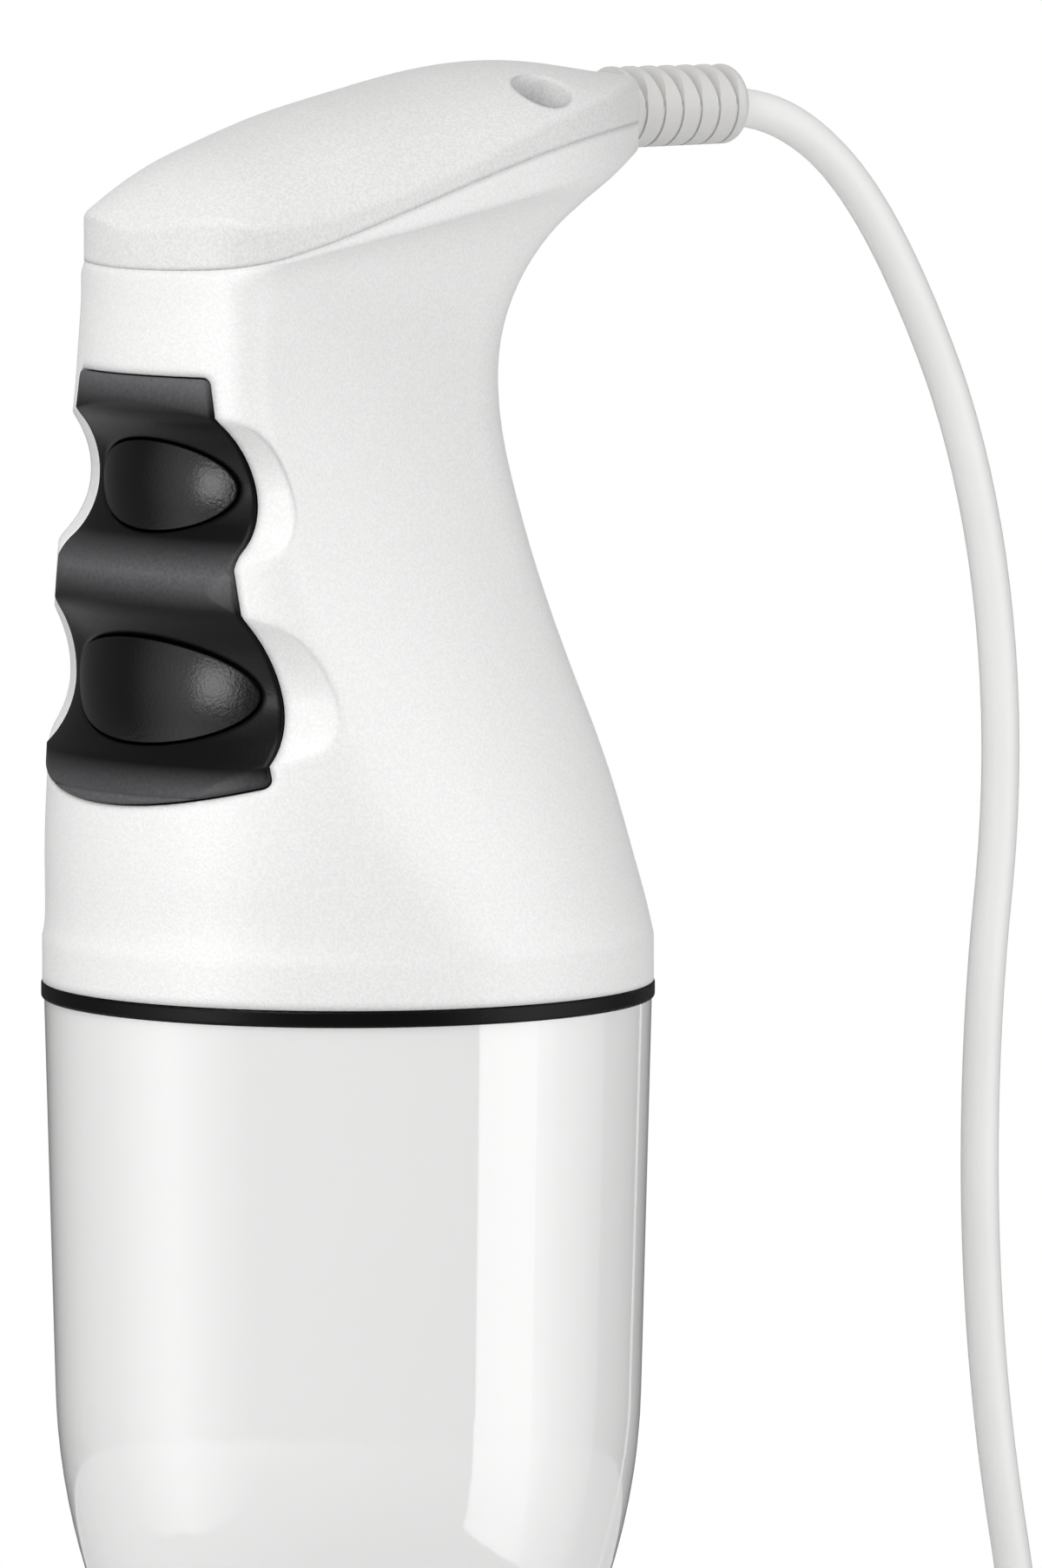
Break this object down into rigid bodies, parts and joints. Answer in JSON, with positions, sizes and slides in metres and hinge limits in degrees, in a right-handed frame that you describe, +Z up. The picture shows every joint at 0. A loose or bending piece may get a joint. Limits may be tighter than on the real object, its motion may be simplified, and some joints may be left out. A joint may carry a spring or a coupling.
{
  "type": "immersion blender",
  "caption": "Upright stick blender: waisted grip with two finger-groove buttons, bullet-shaped motor body, steel shaft, slotted bell guard round a push-on blade, and mains cord with plug.",
  "frame": {"origin": "centre of the blade guard's rim, on the surface the blender stands on", "axes": "+Z up along the drive shaft, switch panel faces -Y, cord leaves towards +Y, +X to the right of someone facing along +Y"},
  "size_m": [0.0949, 0.2173, 0.3379],
  "materials": {
    "cap_plastic": "fine textured light grey",
    "grip_plastic": "satin fine grain off-white",
    "panel_plastic": "satin black",
    "seam_plastic": "gloss black",
    "lower_plastic": "gloss white",
    "relief_rubber": "satin light warm grey",
    "cord_sheath": "satin white",
    "plug_plastic": "satin white",
    "tie_plastic": "matt white",
    "steel": "brushed",
    "shaft_steel": "ground",
    "screw_steel": "zinc plated",
    "pin_metal": "nickel plated",
    "inner_plastic": "moulded dark",
    "nose_rubber": "matt black",
    "board": "laminate",
    "component": "moulded",
    "wire": "insulated",
    "laminations": "stacked sheet",
    "copper": "enamelled wire",
    "carbon": "carbon",
    "bush_brass": "sintered"
  },
  "bodies": {
    "housing": {"top_cap": "cap_plastic", "grip_housing": "grip_plastic", "switch_panel": "panel_plastic", "seam_ring": "seam_plastic", "lower_housing": "lower_plastic", "strain_relief": "relief_rubber", "supply_lead": "cord_sheath", "cord_drop": "cord_sheath", "cord_coil": "cord_sheath", "plug_body": "plug_plastic", "cord_tie": "tie_plastic", "shaft_tube": "steel", "blade_guard": "steel", "lower_bearing": "shaft_steel", "upper_bearing": "shaft_steel", "cap_screws": "screw_steel", "clamp_screws": "screw_steel", "motor_screws": "screw_steel", "upper_button_spring": "screw_steel", "lower_button_spring": "screw_steel", "brush_springs": "screw_steel", "plug_pins": "pin_metal", "switch_carrier": "inner_plastic", "upper_switch": "inner_plastic", "lower_switch": "inner_plastic", "lower_bracket": "inner_plastic", "upper_bracket": "inner_plastic", "tube_lock_ring": "inner_plastic", "cord_clamp": "inner_plastic", "nose_ring": "nose_rubber", "shaft_seal": "nose_rubber", "circuit_board": "board", "capacitor": "component", "terminal_block": "component", "lead_wires": "wire", "stator_core": "laminations", "field_coils": "copper", "carbon_brushes": "carbon", "upper_shaft_bush": "bush_brass", "lower_shaft_bush": "bush_brass", "brush_holders": "bush_brass"},
    "upper_button": {"upper_button": "panel_plastic", "upper_plunger": "inner_plastic"},
    "lower_button": {"lower_button": "panel_plastic", "lower_plunger": "inner_plastic"},
    "drive": {"armature_core": "laminations", "armature_windings": "copper", "commutator": "copper", "motor_shaft": "shaft_steel", "shaft_coupling": "inner_plastic", "drive_shaft": "shaft_steel", "drive_pin": "shaft_steel", "retaining_ring": "shaft_steel"},
    "blade": {"blade_hub": "shaft_steel", "blade": "shaft_steel"}
  },
  "joints": [
    {"name": "upper_button_press", "type": "slide", "parent": "housing", "child": "upper_button", "axis": [0, 1, 0], "range_m": [0, 0.0015], "stiffness_N_per_m": 400, "deforming": ["upper_button_spring"]},
    {"name": "lower_button_press", "type": "slide", "parent": "housing", "child": "lower_button", "axis": [0, 1, 0], "range_m": [0, 0.0015], "stiffness_N_per_m": 400, "deforming": ["lower_button_spring"]},
    {"name": "drive_spin", "type": "hinge", "parent": "housing", "child": "drive", "pos_m": [0, 0, 0.2], "axis": [0, 0, 1], "continuous": true},
    {"name": "blade_pull", "type": "slide", "parent": "drive", "child": "blade", "axis": [0, 0, -1], "range_m": [0, 0.025]}
  ]
}
